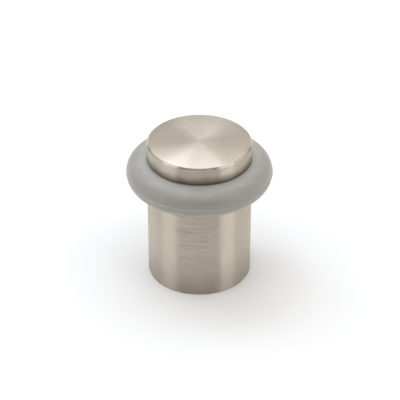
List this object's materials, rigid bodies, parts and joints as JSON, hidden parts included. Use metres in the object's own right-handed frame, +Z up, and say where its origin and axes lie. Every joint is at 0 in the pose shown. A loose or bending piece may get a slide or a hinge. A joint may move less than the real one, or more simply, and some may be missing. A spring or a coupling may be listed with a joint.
{
  "type": "floor door stop",
  "caption": "Cylindrical floor door stop: turned satin metal post with a grey rubber buffer ring in a groove below its cap and a tapped hole in its recessed base.",
  "frame": {"origin": "on the floor, in the middle of the base", "axes": "+Z up along the axis of the post; X and Y are free, because the stop is round"},
  "size_m": [0.042, 0.042, 0.043],
  "materials": {
    "post_metal": "satin, brushed round the axis, warm grey",
    "ring_rubber": "matt grey moulded rubber"
  },
  "bodies": {
    "root": {"post": "post_metal", "buffer_ring": "ring_rubber"}
  },
  "joints": []
}
